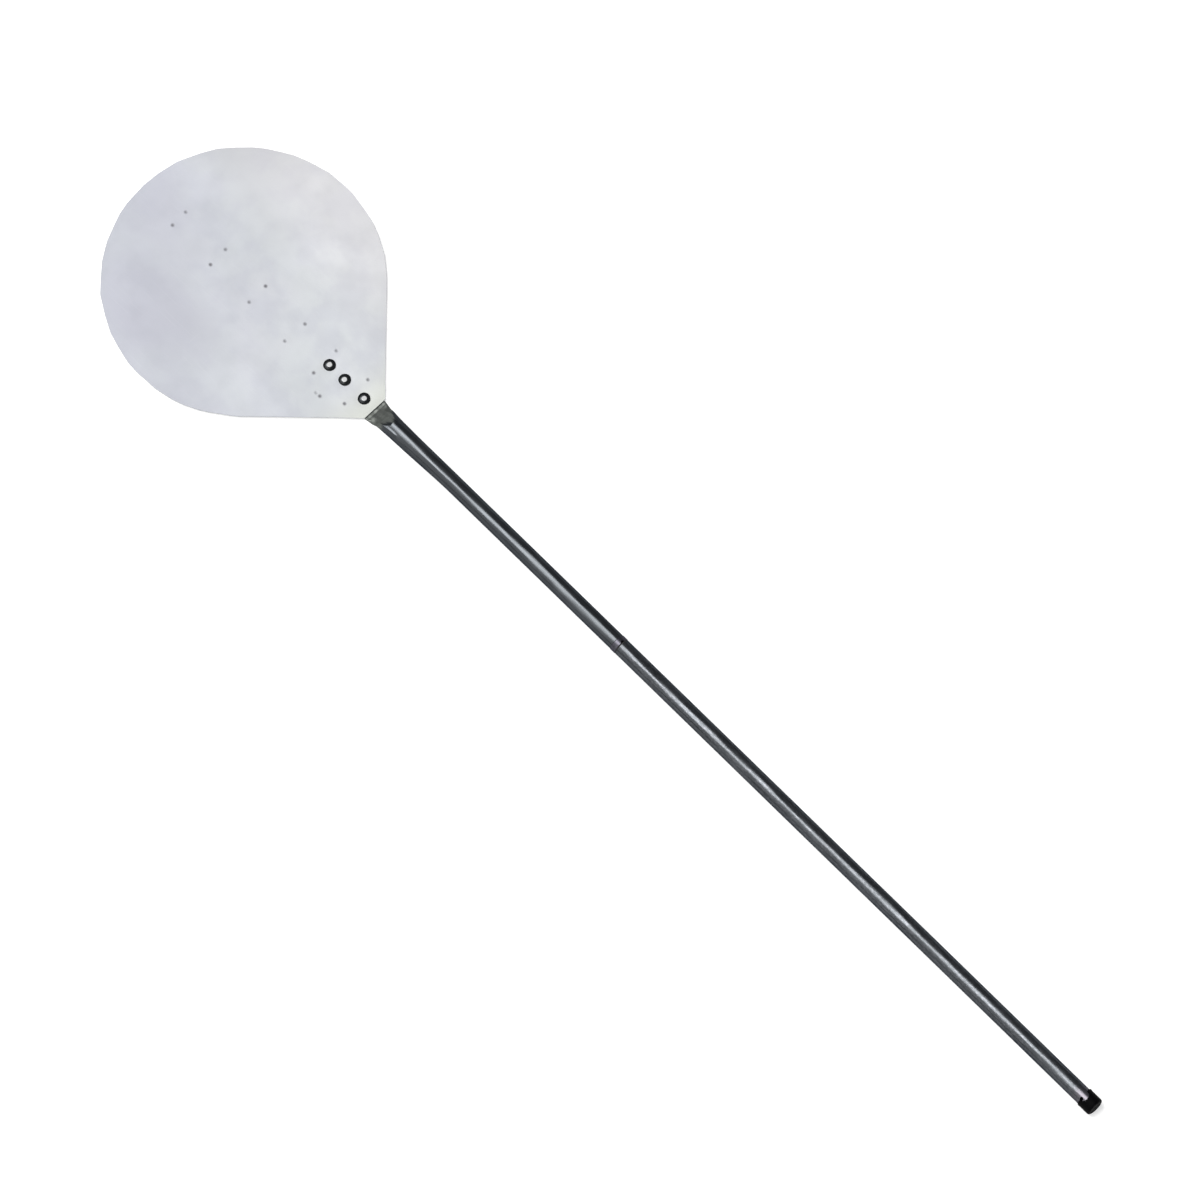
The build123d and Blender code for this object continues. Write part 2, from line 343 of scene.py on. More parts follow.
# ---------------------------------------------------------------- materials
def blade_material():
    """Satin sheet with a slow change of tint across it, patches, weld marks and light scratches."""
    n = Nodes("blade_sheet")
    n.set(Metallic=0.45)
    broad = n.remap(n.noise(120.0, detail=2.0, move=3.1), 0.35, 0.65, 0.0, 1.0)
    patch = n.remap(n.noise(38.0, detail=4.0, move=7.7), 0.38, 0.66, 0.0, 1.0)
    across = n.math("ADD", n.axis("X"), n.math("MULTIPLY", n.axis("Y"), 1.3))
    across_low, across_high = BLADE_CX - 1.5 * BLADE_R, BLADE_CX + 1.5 * BLADE_R
    far = n.remap(across, across_low * MM, across_high * MM, 0.0, 1.0)
    tint = n.mix(far, (0.293, 0.299, 0.342), (0.381, 0.393, 0.409))
    tint = n.mix(n.math("MULTIPLY", broad, 0.4), tint, (0.334, 0.356, 0.370))
    tint = n.mix(n.math("MULTIPLY", patch, 0.45), tint, (0.293, 0.301, 0.344))
    pink = n.math("MULTIPLY", n.remap(n.axis("Y"), 0.02, 0.14, 0.0, 1.0), 0.5)
    tint = n.mix(pink, tint, (0.377, 0.367, 0.382))
    neck = n.remap(n.axis("X"), (NECK_X - 45.0) * MM, (NECK_X + 5.0) * MM, 0.0, 0.7)
    tint = n.mix(neck, tint, (0.372, 0.383, 0.343))
    weld = n.attribute("weld")
    tint = n.mix(weld, tint, (0.120, 0.120, 0.132))
    heat = n.attribute("heat")
    tint = n.mix(n.math("MULTIPLY", heat, 0.35), tint, (0.366, 0.366, 0.427))
    lines = scratches(n, 0.9, (60.0, 1.0, 1.0), 1.3)
    cross = scratches(n, 1.1, (1.0, 45.0, 1.0), 5.9, 0.66)
    marks = n.math("MAXIMUM", lines, cross)
    tint = n.mix(n.math("MULTIPLY", marks, 0.06), tint, (0.56, 0.57, 0.60))
    n.colour(tint)
    rough = n.remap(n.noise(26.0, detail=4.0, move=11.0), 0.3, 0.7, 0.42, 0.5)
    n.roughness(n.math("ADD", rough, n.math("MULTIPLY", weld, 0.12)))
    grain = n.noise(0.7, detail=2.0, stretch=(8.0, 1.0, 1.0), move=2.0)
    n.bump(n.math("ADD", n.math("MULTIPLY", grain, 0.35), marks), 0.012, 0.6)
    return n.material


def edge_painted_shade_material():
    """Sheared edge of the sheet: rougher metal, coloured dark to paint in a thin shadow line along
    the rim.
    """
    n = Nodes("blade_cut_edge_painted_shade")
    n.set(Metallic=0.6)
    drag = n.noise(0.5, detail=3.0, stretch=(1.0, 1.0, 0.3), move=4.0)
    # painted shade: the edge's dark colour stands in for the thin shadow along the blade's rim
    n.colour(n.mix(drag, (0.27, 0.28, 0.295), (0.46, 0.47, 0.49)))
    n.roughness(n.remap(drag, 0.3, 0.7, 0.45, 0.7))
    n.bump(drag, 0.03, 0.8)
    return n.material


def stiffener_material():
    """Plain sheet of the strip under the blade."""
    n = Nodes("stiffener_sheet")
    n.set(Metallic=0.45)
    broad = n.noise(30.0, detail=4.0, move=6.0)
    n.colour(n.mix(broad, (0.30, 0.31, 0.34), (0.42, 0.43, 0.45)))
    n.roughness(n.remap(broad, 0.3, 0.7, 0.4, 0.58))
    n.bump(n.noise(0.8, detail=2.0, stretch=(12.0, 1.0, 1.0)), 0.02, 0.6)
    return n.material


def tube_material(name, front):
    """Dark polished steel with drawn streaks; matt at the pressed end, dusty on the rear half."""
    n = Nodes(name)
    n.set(Metallic=1.0, Specular_Tint=(0.30, 0.31, 0.33, 1.0))
    long_streak = n.noise(1.6, detail=3.0, stretch=(90.0, 1.0, 1.0), move=2.2)
    mottle = n.noise(14.0, detail=4.0, stretch=(2.5, 1.0, 1.0), move=8.4)
    base = n.mix(long_streak, (0.036, 0.039, 0.043), (0.062, 0.067, 0.073))
    base = n.mix(n.remap(mottle, 0.45, 0.75, 0.0, 0.5), base, (0.083, 0.090, 0.097))
    fine = scratches(n, 0.35, (70.0, 1.0, 1.0), 9.3, 0.64)
    base = n.mix(n.math("MULTIPLY", fine, 0.22), base, (0.22, 0.23, 0.24))
    rough = n.remap(mottle, 0.3, 0.7, 0.24, 0.36)
    if front:
        matt = n.attribute("matt")
        stain = n.noise(6.0, detail=4.0, move=1.9)
        fine_grain = n.noise(1.1, detail=3.0, stretch=(1.0, 5.0, 1.0), move=6.1)
        dull = n.mix(stain, (0.084, 0.092, 0.086), (0.140, 0.149, 0.139))
        dull = n.mix(n.remap(fine_grain, 0.35, 0.7, 0.0, 0.5), dull, (0.165, 0.172, 0.166))
        base = n.mix(matt, base, dull)
        rough = n.math("ADD", rough, n.math("MULTIPLY", matt, 0.24))
    else:
        dust = n.noise(1.3, detail=3.0, stretch=(3.0, 1.0, 1.0), move=12.2)
        base = n.mix(n.remap(dust, 0.42, 0.70, 0.0, 0.45), base, (0.125, 0.128, 0.142))
        rub_low, rub_high = HANG_HOLE_X - 17.0, HANG_HOLE_X - 1.0
        by_cap = n.remap(n.axis("X"), rub_low * MM, rub_high * MM, 0.0, 1.0)
        rubbed = n.math("MULTIPLY", by_cap, n.remap(mottle, 0.35, 0.65, 0.3, 0.7))
        base = n.mix(rubbed, base, (0.112, 0.101, 0.117))
    n.colour(base)
    n.roughness(rough)
    height = n.math("ADD", n.math("MULTIPLY", long_streak, 0.5), fine)
    wander = n.noise(9.0, detail=1.0, stretch=(9.0, 1.0, 1.0), move=4.4)
    n.bump(n.math("ADD", n.math("MULTIPLY", wander, 110.0), height), 0.010, 1.0)
    return n.material


def rivet_material():
    """Blackened steel heads with a bright highlight painted on the middle."""
    n = Nodes("rivet_steel")
    n.set(Metallic=1.0, Specular_Tint=(0.30, 0.30, 0.31, 1.0))
    spin = n.noise(1.2, detail=3.0, move=3.0)
    dark = n.mix(spin, (0.026, 0.028, 0.030), (0.050, 0.053, 0.056))
    # painted highlight: the bright, rougher spot on each head's middle stands in for the key light's
    # reflection on the dome
    painted_highlight_middle = n.attribute("painted_highlight")
    uneven = n.math("MULTIPLY", n.math("SUBTRACT", spin, 0.5), 0.7)
    ragged = n.math("ADD", painted_highlight_middle, uneven)
    painted_highlight = n.remap(ragged, 0.35, 0.65, 0.0, 1.0)
    n.colour(n.mix(painted_highlight, dark, n.mix(spin, (0.24, 0.245, 0.25), (0.46, 0.465, 0.47))))
    n.roughness(n.math("ADD", n.remap(spin, 0.3, 0.7, 0.22, 0.34), n.math("MULTIPLY", painted_highlight, 0.26)))
    n.bump(spin, 0.03, 0.5)
    return n.material


def machined_material():
    """Turned grey metal of the collar, thread and plug: fine rings about the handle axis."""
    n = Nodes("joint_metal")
    n.set(Metallic=1.0, Specular_Tint=(0.35, 0.35, 0.38, 1.0))
    turn = n.noise(0.25, detail=2.0, stretch=(1.0, 60.0, 60.0), move=1.0)
    smudge = n.noise(5.0, detail=3.0, move=6.6)
    base = n.mix(turn, (0.040, 0.039, 0.048), (0.072, 0.071, 0.086))
    base = n.mix(n.remap(smudge, 0.45, 0.7, 0.0, 0.5), base, (0.105, 0.104, 0.121))
    n.colour(base)
    n.roughness(n.remap(smudge, 0.3, 0.7, 0.30, 0.38))
    n.bump(turn, 0.02, 0.6)
    return n.material


def washer_material():
    """Dull black fibre."""
    n = Nodes("washer_fibre")
    n.set(Roughness=0.85)
    fleck = n.noise(0.6, detail=4.0)
    n.colour(n.mix(fleck, (0.012, 0.012, 0.012), (0.045, 0.043, 0.040)))
    n.bump(fleck, 0.05, 0.8)
    return n.material


def cap_material():
    """Black moulded rubber, scuffed grey in places."""
    n = Nodes("cap_rubber")
    n.set(Specular_IOR_Level=0.03)
    fine = n.noise(0.45, detail=3.0, move=2.7)
    wear = n.remap(n.noise(4.0, detail=4.0, move=9.0), 0.5, 0.75, 0.0, 1.0)
    fleck = n.remap(n.noise(1.3, detail=3.0, move=5.2), 0.58, 0.72, 0.0, 1.0)
    base = n.mix(wear, (0.0008, 0.0008, 0.0010), (0.0026, 0.0024, 0.0030))
    n.colour(n.mix(n.math("MULTIPLY", fleck, 0.5), base, (0.0072, 0.0064, 0.0080)))
    n.roughness(n.remap(wear, 0.0, 1.0, 0.6, 0.78))
    n.bump(fine, 0.05, 0.7)
    return n.material


# ---------------------------------------------------------------- blade
OUTLINE_STEP = 2.0           # mm between points round the blade
ARC_START_DEG = 45.0
ARC_SWEEP_DEG = 270.0
SNIP_START_DEG = 40.0        # the hand-cut snips run from here round to the same angle below
SNIP_SHORT = 11.0
SNIP_LONG = 26.0
EDGE_ROUNDING = 0.22         # rounding of the sheet's edge
GRID_SPACING = 5.0           # mm between the sheet's inner points, in rows of triangles
GRID_ROW = 0.866             # height of an even triangle, in sides
HOLE_POINTS = 28
MARK_CLEAR = 5.2             # the even grid keeps this far from a weld, a rivet and the rim
RIVET_CLEAR = 12.5
RIM_CLEAR = 2.6


def blade_outline():
    """Points round the blade: the arc, two tangent shoulders and the neck edge."""
    start = math.radians(ARC_START_DEG)
    sweep = math.radians(ARC_SWEEP_DEG)
    count = int(BLADE_R * sweep / OUTLINE_STEP)
    arc = [start + sweep * i / count for i in range(count + 1)]
    points = [(BLADE_CX + BLADE_R * math.cos(a), BLADE_R * math.sin(a)) for a in arc]
    corners = [points[-1], (NECK_X, -NECK_HALF), (NECK_X, NECK_HALF), points[0]]
    for a, b in zip(corners, corners[1:]):
        a, b = np.array(a), np.array(b)
        pieces = max(2, int(np.linalg.norm(b - a) / OUTLINE_STEP))
        for i in range(1, pieces + 1):
            points.append(tuple(a + (b - a) * i / pieces))
    return np.array(points[:-1])


def hand_cut(points):
    """Draws the round edge in to short straight snips of uneven length, as hand shears leave it."""
    rng = np.random.default_rng(7)
    offset = points - np.array([BLADE_CX, 0.0])
    angle = np.arctan2(offset[:, 1], offset[:, 0]) % (2.0 * math.pi)
    corners = [math.radians(SNIP_START_DEG)]
    while corners[-1] < math.radians(360.0 - SNIP_START_DEG):
        corners.append(corners[-1] + rng.uniform(SNIP_SHORT, SNIP_LONG) / BLADE_R)
    corners = np.array(corners)
    reach = BLADE_R + rng.uniform(-1.05, 0.3, len(corners))
    place = np.clip(np.searchsorted(corners, angle) - 1, 0, len(corners) - 2)
    a0, a1 = corners[place], corners[place + 1]
    r0, r1 = reach[place], reach[place + 1]
    chord = r0 * r1 * np.sin(a1 - a0) / (r0 * np.sin(angle - a0) + r1 * np.sin(a1 - angle))
    on_arc = (angle > corners[0]) & (angle < corners[-1]) & (offset[:, 0] < BLADE_R * 0.70)
    length = np.linalg.norm(offset, axis=1)
    new_length = np.where(on_arc, chord, length)
    shoulder = 0.25 * np.sin(points[:, 0] / 9.0) * (1.0 + np.sign(points[:, 1]))
    new_length = np.where(on_arc, new_length, length - 0.3 - 0.4 * np.abs(shoulder))
    at_neck = smoothstep(4.0, 20.0, NECK_X - points[:, 0])
    length_used = length + (new_length - length) * at_neck
    return np.array([BLADE_CX, 0.0]) + offset * (length_used / length)[:, None]


def weld_places():
    """Middles of the spot welds: pairs scattered a little about an even taper, then the strays."""
    rng = np.random.default_rng(3)
    distance = WELD_FIRST
    places = []
    for pair in range(WELD_PAIRS):
        share = pair / (WELD_PAIRS - 1)
        half = WELD_ROOT_HALF + (WELD_TIP_HALF - WELD_ROOT_HALF) * share
        for side in (1.0, -1.0):
            along, across = rng.uniform(-WELD_SCATTER, WELD_SCATTER, 2)
            places.append((NECK_X - distance + along, side * half + across))
        distance += WELD_NEAR_PITCH if pair < WELD_NEAR_PAIRS else WELD_FAR_PITCH
    stray_distance, stray_side = WELD_STRAY
    for gap in (0.0, WELD_STRAY_GAP):
        places.append((NECK_X - stray_distance - gap, stray_side))
    return np.array(places)


def inside(points, outline):
    """True for points inside a closed outline."""
    x, y = points[:, 0], points[:, 1]
    result = np.zeros(len(points), dtype=bool)
    for (x0, y0), (x1, y1) in zip(outline, np.roll(outline, -1, axis=0)):
        crosses = (y0 > y) != (y1 > y)
        with np.errstate(divide="ignore", invalid="ignore"):
            hit = x < (x1 - x0) * (y - y0) / (y1 - y0) + x0
        result ^= crosses & hit
    return result


def reached(triangles, walls, seed):
    """Numbers of the triangles that join on to the seed without crossing a wall edge."""
    sides = {}
    for number, corners in enumerate(triangles):
        for k in range(3):
            side = frozenset((int(corners[k]), int(corners[(k + 1) % 3])))
            if side not in walls:
                sides.setdefault(side, []).append(number)
    beside = {}
    for pair in sides.values():
        for number in pair:
            beside.setdefault(number, []).extend(pair)
    seen, waiting = {seed}, [seed]
    while waiting:
        for number in beside.get(waiting.pop(), []):
            if number not in seen:
                seen.add(number)
                waiting.append(number)
    return sorted(seen)


def sheet_height(x, y, welds, rivets):
    """Rise of the sheet above flat: slow waves away from the stiffener, and pressed-in marks."""
    wave = 0.34 * np.sin((0.9 * x + 0.5 * y) / 33.0 + 1.0)
    wave += 0.24 * np.sin((-0.4 * x + 0.8 * y) / 26.0 + 2.2)
    wave += 0.10 * np.sin((0.7 * x - 0.6 * y) / 14.0 + 0.5)
    rise = wave * smoothstep(18.0, 80.0, np.abs(y))
    for wx, wy in welds:
        d = np.hypot(x - wx, y - wy)
        rise = rise - 0.20 * np.exp(-(d / 1.35) ** 2) + 0.02 * np.exp(-((d - 2.6) / 0.9) ** 2)
    for rx in rivets:
        d = np.hypot(x - rx, y)
        rise = rise - 0.07 * np.exp(-((d - RIVET_R) / 2.6) ** 2)
    return rise


def circle(x, y, radius, number, turn=0.0):
    """Points evenly round a circle."""
    angle = np.linspace(0.0, 2.0 * math.pi, number, endpoint=False) + turn
    return np.column_stack([x + radius * np.cos(angle), y + radius * np.sin(angle)])


def sheet_points(rim, welds, rivets):
    """Points inside the blade: an even grid, and finer rings round each weld and rivet."""
    rows = int(2.0 * BLADE_R / (GRID_SPACING * GRID_ROW)) + 2
    columns = int((NECK_X - blade_low[0]) / GRID_SPACING) + 2
    grid = []
    for row in range(rows):
        for column in range(columns):
            x = blade_low[0] + (column + 0.5 * (row % 2)) * GRID_SPACING
            grid.append((x, -BLADE_R + row * GRID_SPACING * GRID_ROW))
    grid = np.array(grid)
    grid = grid[inside(grid, rim)]
    to_rim = np.min(np.linalg.norm(grid[:, None, :] - rim[None, ::2, :], axis=2), axis=1)
    grid = grid[to_rim > RIM_CLEAR]
    for wx, wy in welds:
        grid = grid[np.hypot(grid[:, 0] - wx, grid[:, 1] - wy) > MARK_CLEAR]
    for rx in rivets:
        grid = grid[np.hypot(grid[:, 0] - rx, grid[:, 1]) > RIVET_CLEAR]

    parts = [grid]
    for wx, wy in welds:
        parts.append(np.array([[wx, wy]]))
        for radius, number in ((0.6, 8), (1.2, 12), (1.8, 16), (2.4, 18), (3.1, 20), (4.0, 20)):
            parts.append(circle(wx, wy, radius, number, radius))
    for rx in rivets:
        for radius, number in ((4.4, 28), (5.8, 32), (7.2, 36), (8.8, 36), (10.8, 36)):
            parts.append(circle(rx, 0.0, radius, number, radius))
    return np.vstack(parts)


def triangulate(loops, inner, centre):
    """Triangles of the sheet within its rim and outside its holes, and each loop point's number."""
    edges = []
    start = 0
    for loop in loops:
        count = len(loop)
        edges += [(start + i, start + (i + 1) % count) for i in range(count)]
        start += count
    flat = np.vstack(loops + [inner])
    result = geometry.delaunay_2d_cdt([Vector(p) for p in flat], edges, [], 0, 1e-6)
    found, triangles, origin = result[0], result[2], result[3]
    plan = np.array([(v.x, v.y) for v in found])
    triangles = np.array([t for t in triangles if len(t) == 3])
    new_index = {}
    for i, sources in enumerate(origin):
        for source in sources:
            new_index[source] = i
    walls = {frozenset((new_index[i], new_index[j])) for i, j in edges}
    seed = int(np.argmin(np.linalg.norm(plan[triangles].mean(axis=1) - centre, axis=1)))
    return plan, triangles[reached(triangles, walls, seed)], new_index


def weld_marks(points, welds):
    """Darkness of the weld dots and of the heat tint round them, at each point."""
    weld = np.zeros(len(points))
    heat = np.zeros(len(points))
    for number, (wx, wy) in enumerate(welds):
        d = np.hypot(points[:, 0] - wx, points[:, 1] - wy)
        depth = 0.80 + 0.20 * math.sin(2.3 * number)
        if number == len(welds) - 1:
            depth = 0.3
        weld = np.maximum(weld, depth * (1.0 - smoothstep(0.6, 3.0, d)))
        heat = np.maximum(heat, np.exp(-((d - 4.0) / 2.5) ** 2))
    return weld, heat


def make_blade(material, edge_with_painted_shade):
    """The sheet: top and bottom faces, a rounded rim with sheared sides, and three rivet holes."""
    edge = hand_cut(blade_outline())
    centre = np.array([BLADE_CX, 0.0])
    inward = (centre - edge) / np.linalg.norm(centre - edge, axis=1, keepdims=True)
    rim = edge + inward * EDGE_ROUNDING
    welds = weld_places()
    rivets = [NECK_X - d for d in RIVET_FROM_NECK]
    loops = [rim] + [circle(x, 0.0, RIVET_HOLE_R, HOLE_POINTS) for x in rivets]
    plan, triangles, new_index = triangulate(loops, sheet_points(rim, welds, rivets), centre)

    rise = sheet_height(plan[:, 0], plan[:, 1], welds, rivets)
    top = np.column_stack([plan, BLADE_TOP + rise])
    bottom = np.column_stack([plan, BLADE_TOP - BLADE_THICK + rise])
    count = len(plan)
    faces = [tuple(t) for t in triangles] + [tuple(t[::-1] + count) for t in triangles]
    smooth_faces = len(faces)

    edge_rise = sheet_height(edge[:, 0], edge[:, 1], welds, rivets)
    upper = np.column_stack([edge, BLADE_TOP + edge_rise - EDGE_ROUNDING])
    lower = np.column_stack([edge, BLADE_TOP - BLADE_THICK + edge_rise + EDGE_ROUNDING])
    number = len(rim)
    for i in range(number):
        j = (i + 1) % number
        t0, t1 = new_index[i], new_index[j]
        u0, u1 = 2 * count + i, 2 * count + j
        l0, l1 = u0 + number, u1 + number
        faces += [(t1, t0, u0, u1), (u1, u0, l0, l1), (l1, l0, t0 + count, t1 + count)]
    start = number
    for loop in loops[1:]:
        size = len(loop)
        for i in range(size):
            t0, t1 = new_index[start + i], new_index[start + (i + 1) % size]
            faces.append((t0, t1, t1 + count, t0 + count))
        start += size
    points = np.vstack([top, bottom, upper, lower])
    obj = add_object("blade_sheet_detailed", points, faces, material, sharp_deg=24.0)
    # the rim's faces take the edge material, whose dark colour paints a thin shadow line round the
    # blade
    obj.data.materials.append(edge_with_painted_shade)
    for polygon in obj.data.polygons[smooth_faces:]:
        polygon.material_index = 1
    weld, heat = weld_marks(points, welds)
    store(obj, "weld", weld)
    store(obj, "heat", heat)
    return obj


# ---------------------------------------------------------------- front tube with its pressed end
ROUND_FROM = 118.0           # distance from the neck edge where the tube is round again
PRESS_REACH = 12.0           # how far the squeeze at the neck edge carries
PRESS_SHARE = 0.45           # share of the tongue's extra width lost within that reach
PRESS_RISE = 18.0            # distance over which the tongue fills out to the tube's full girth
FACET_START = 3.0            # the flat facet, from the neck edge up to the crown
FACET_END = 26.5
FACET_TOP = 13.9
CROWN_BEND = 0.63            # share of the crown's radius where its curve goes over into a slope
CROWN_SLOPE = 0.81           # that slope, a tangent to the curve
RIDGE_HEIGHT = 1.05
RIDGE_HALF = 1.3
TUBE_POINTS = 112            # points round the front tube
BORE_STATIONS = (114.0, 98.0, 82.0, 66.0, 52.0, 42.0, 34.0)


def domed_section(width, height, crown_share, squareness, count):
    """Section wider than high: a rounded crown over a flatter belly, even steps from the top."""
    crown = height * crown_share
    belly = height - crown
    turn = np.linspace(0.0, 2.0 * math.pi, 721)
    across, up = np.sin(turn), np.cos(turn)
    power = 2.0 / squareness
    y = width / 2.0 * np.sign(across) * np.abs(across) ** power
    reach = np.where(up > 0.0, crown, belly)
    z = belly + reach * np.sign(up) * np.abs(up) ** power
    gaps = np.hypot(np.diff(y), np.diff(z))
    along = np.concatenate([[0.0], np.cumsum(gaps)])
    want = np.linspace(0.0, along[-1], count, endpoint=False)
    return np.column_stack([np.interp(want, along, y), np.interp(want, along, z)])


def pressed_size(d):
    """Outer width and height at d beyond the neck edge; the girth stays the round tube's."""
    tube = 2.0 * TUBE_R
    quick = math.exp(-(d / PRESS_REACH) ** 1.6)
    slow = max(1.0 - d / ROUND_FROM, 0.0) ** 1.2
    extra = (2.0 * TONGUE_HALF - tube) * (PRESS_SHARE * quick + (1.0 - PRESS_SHARE) * slow)
    filled = tube - extra - extra ** 2 / (2.0 * tube)
    height = TONGUE_THICK + (filled - TONGUE_THICK) * float(smoothstep(0.0, PRESS_RISE, d))
    return tube + extra, height


def pressed_ring(distance, count):
    """Outer section of the front tube, at a distance from the neck edge; below 0 it is the tongue."""
    d = max(distance, 0.0)
    width, height = pressed_size(d)
    if distance < 0.0:
        width = 2.0 * TONGUE_HALF - (2.0 * TONGUE_HALF - width) * smoothstep(-12.0, 0.0, distance)
        tip = distance + TONGUE_LENGTH
        if tip < TONGUE_HALF:
            width = 2.0 * math.sqrt(TONGUE_HALF ** 2 - (TONGUE_HALF - tip) ** 2) + 2.6
            width = min(width, 2.0 * TONGUE_HALF)
    squareness = 2.0 + 4.0 * float(1.0 - smoothstep(2.0, 16.0, d))
    domed = smoothstep(8.0, 24.0, d) * (1.0 - smoothstep(50.0, ROUND_FROM, d))
    crown_share = 0.5 + 0.2 * float(domed)
    section = domed_section(width, height, crown_share, squareness, count)
    bottom = TUBE_BOTTOM * smoothstep(0.0, ROUND_FROM, d)
    y, z = section[:, 0], section[:, 1] + bottom
    top = height + bottom
    upper = z > bottom + height * 0.35

    # the crown keeps the tube's own curve, a little flatter where the press stopped
    crown_r = TUBE_R + 0.8 * float(1.0 - smoothstep(27.0, 32.0, d))
    bent = CROWN_BEND * crown_r
    off = np.abs(y)
    round_drop = crown_r - np.sqrt(crown_r ** 2 - np.minimum(off, bent) ** 2)
    crown_line = top - round_drop - CROWN_SLOPE * np.maximum(off - bent, 0.0)
    share = float(smoothstep(4.0, 14.0, d))
    z = np.where(upper, np.minimum(z, crown_line) * share + z * (1.0 - share), z)

    # the flat facet pressed from the neck edge up to the crown
    ramp = np.clip((d - FACET_START) / (FACET_END - FACET_START), 0.0, 1.0)
    plane = TONGUE_THICK + (FACET_TOP - TONGUE_THICK) * ramp + 3.0 * max(d - FACET_END, 0.0)
    z = np.where(upper, np.minimum(z, np.maximum(plane, bottom + 0.5 * height)), z)

    # a ridge along the -Y shoulder, from the neck's corner
    middle = np.interp(d, [3.0, 10.0, 20.0, 30.0, 45.0], [-12.6, -10.6, -8.4, -7.5, -7.2])
    grow = 0.45 * smoothstep(3.0, 6.0, d) + 0.55 * smoothstep(15.0, 22.0, d)
    fade = float(grow * (1.0 - smoothstep(34.0, 46.0, d)))
    ridge = RIDGE_HEIGHT * fade * np.exp(-((y - middle) / RIDGE_HALF) ** 2)
    z = np.where(upper, z + ridge, z)
    x = np.full(count, NECK_X + distance)
    return np.column_stack([x, y, z])


def inner_ring(distance, count):
    """Section of the bore at a distance from the neck edge, one wall inside the outer section."""
    ring = pressed_ring(distance, count)
    low, high = ring[:, 1:].min(axis=0), ring[:, 1:].max(axis=0)
    middle, half = (low + high) / 2.0, (high - low) / 2.0
    ring[:, 1:] = middle + (ring[:, 1:] - middle) * (half - TUBE_WALL) / half
    return ring


def pressed_matt(points):
    """Where the press left the surface dull: all of the flat and a ragged border at its end."""
    from_neck = points[:, 0] - NECK_X
    ragged = 1.4 * np.sin(points[:, 1] * 1.1 + 0.4) + 0.8 * np.sin(points[:, 1] * 2.7)
    border = 20.0 + ragged + 6.0 * smoothstep(-5.0, 1.0, points[:, 1])
    border = border - 9.0 * smoothstep(4.0, 9.0, points[:, 1])
    return 1.0 - smoothstep(border - 2.5, border + 2.5, from_neck)


def make_front_tube(material):
    """Tube from the tongue's tip to the joint and back along its bore, with the rivet holes."""
    stations = [-TONGUE_LENGTH + t for t in (0.02, 0.5, 1.5, 3.0, 5.0, 8.0, 11.0, 14.2)]
    stations += [-60.0, -45.0, -30.0, -15.0, -8.0, -3.0]
    stations += list(np.arange(0.0, 60.0, 1.0)) + list(np.arange(60.0, ROUND_FROM + 1.0, 3.0))
    end = FRONT_END_X - NECK_X
    round_start = ROUND_FROM + 12.0
    stations += list(np.arange(round_start, end - 4.0, 12.0)) + [end - 1.0, end - 0.25]
    rings = [pressed_ring(d, TUBE_POINTS) for d in stations]
    mouth = pressed_ring(end, TUBE_POINTS)
    axis = np.array([0.0, AXIS_Z])
    bore_r = TUBE_R - TUBE_WALL
    for radius, at in ((TUBE_R - 0.2, end), (bore_r, end), (bore_r, round_start)):
        ring = mouth.copy()
        ring[:, 0] = NECK_X + at
        ring[:, 1:] = axis + (mouth[:, 1:] - axis) * radius / TUBE_R
        rings.append(ring)
    rings += [inner_ring(distance, TUBE_POINTS) for distance in BORE_STATIONS]
    points, faces = skin(rings)
    obj = add_object("front_tube_pressed", points, faces, material, sharp_deg=38.0)
    store(obj, "matt", pressed_matt(np.array([v.co for v in obj.data.vertices]) / MM))
    profile = [(-1.0, RIVET_TAIL_R + 1.0), (0.0, RIVET_TAIL_R), (RIVET_TAIL_DEPTH, RIVET_HOLE_R),
               (TONGUE_THICK + 1.0, RIVET_HOLE_R)]
    tools = []
    for distance in RIVET_FROM_NECK:
        points, faces = upright_lathe(NECK_X - distance, profile, 32)
        tools.append(add_object("tool", points, faces, material))
    cut(obj, tools)
    return obj


# ---------------------------------------------------------------- rivets
def upright_lathe(x, profile, around, wobble=0.0):
    """Turned shape about a vertical axis at x from (z, radius) pairs, bottom first."""
    angle = np.linspace(0.0, 2.0 * math.pi, around, endpoint=False)
    rings = []
    for z, radius in profile:
        uneven = 1.0 + wobble * np.sin(3.0 * angle + 0.6 * x) + 0.6 * wobble * np.sin(5.0 * angle)
        r = radius * uneven
        height = np.full(around, z)
        rings.append(np.column_stack([x + r * np.cos(angle), r * np.sin(angle), height]))
    return skin(rings)


HEAD_UNDERCUT = 0.25         # how far the head is sunk into the sheet
HEAD_LIP = 0.2
HEAD_STEPS = 16


